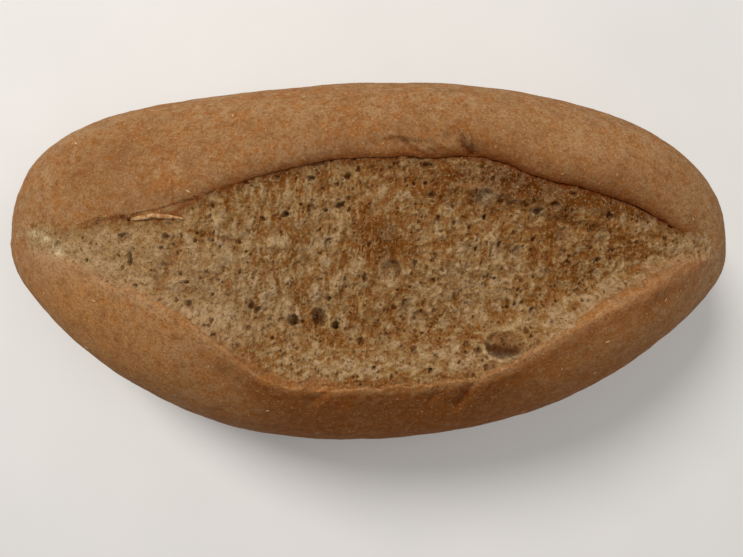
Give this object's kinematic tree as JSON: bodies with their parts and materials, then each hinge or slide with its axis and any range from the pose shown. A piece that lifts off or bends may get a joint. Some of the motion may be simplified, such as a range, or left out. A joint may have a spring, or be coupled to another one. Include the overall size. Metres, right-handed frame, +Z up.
{
  "type": "free-baked rye loaf",
  "caption": "Long oval rye loaf with a flat underside, a fine-grained brown crust and a lengthwise burst that shows toasted, porous crumb under a rolled flap.",
  "frame": {"origin": "centre of the bounding box in plan, on the flat underside", "axes": "+X along the loaf, +Y across it to the side of the rolled flap, +Z up from the table"},
  "size_m": [0.254, 0.1257, 0.0751],
  "materials": {
    "baked_rye_crust": null
  },
  "bodies": {
    "root": {"loaf": "baked_rye_crust"}
  },
  "joints": []
}
